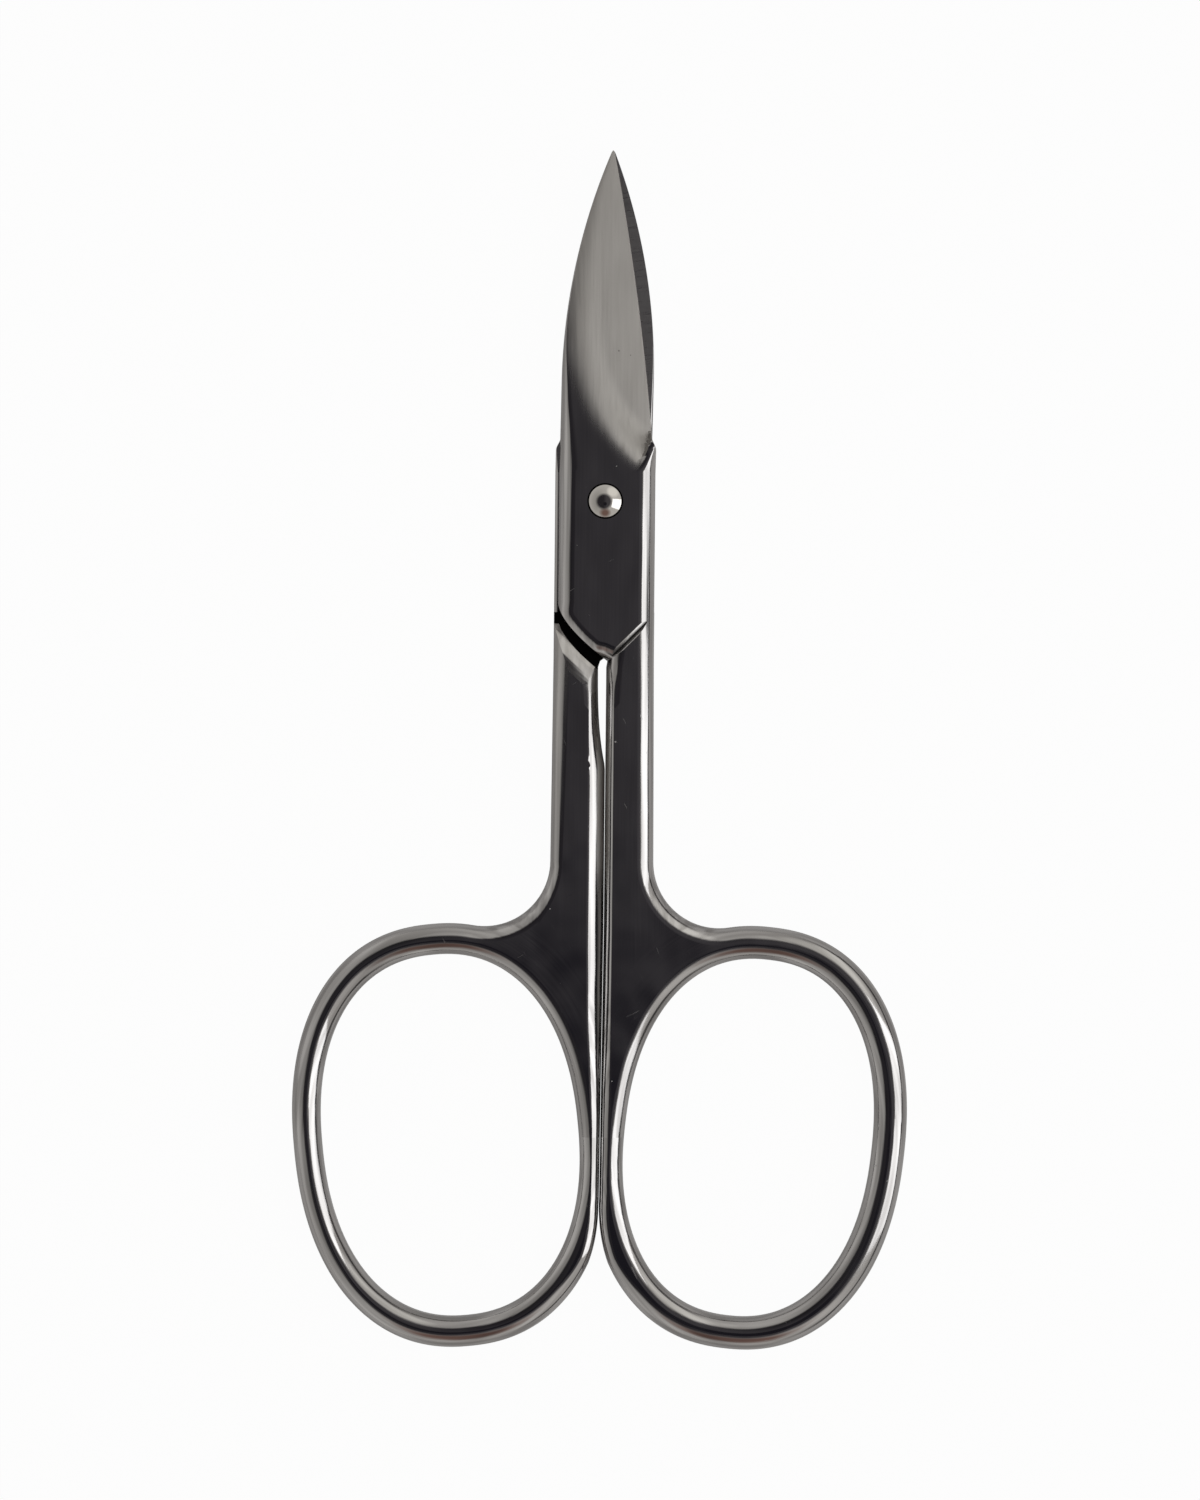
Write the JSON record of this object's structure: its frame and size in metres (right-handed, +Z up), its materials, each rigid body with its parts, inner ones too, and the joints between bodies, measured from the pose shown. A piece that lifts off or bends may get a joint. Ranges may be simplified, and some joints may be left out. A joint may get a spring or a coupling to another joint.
{
  "type": "nail scissors",
  "caption": "Small forged nail scissors with pointed straight blades, oval finger rings and a domed pivot rivet.",
  "frame": {"origin": "middle of the bounding box on the flat back face that the closed scissors rest on", "axes": "+Y from the finger rings to the tips, +Z up out of the front face, +X to the right seen from above"},
  "size_m": [0.0462, 0.09, 0.003],
  "materials": {
    "half_steel": "polished stainless steel, satin ground blade faces",
    "rivet_steel": "bright polished steel"
  },
  "bodies": {
    "rear_body": {"rear_half": "half_steel", "pivot_rivet": "rivet_steel"},
    "front_body": {"front_half": "half_steel"}
  },
  "joints": [
    {"name": "pivot", "type": "hinge", "parent": "rear_body", "child": "front_body", "pos_m": [0, 0.0186, 0.0013], "axis": [0, 0, 1], "range_deg": [0, 125]}
  ]
}
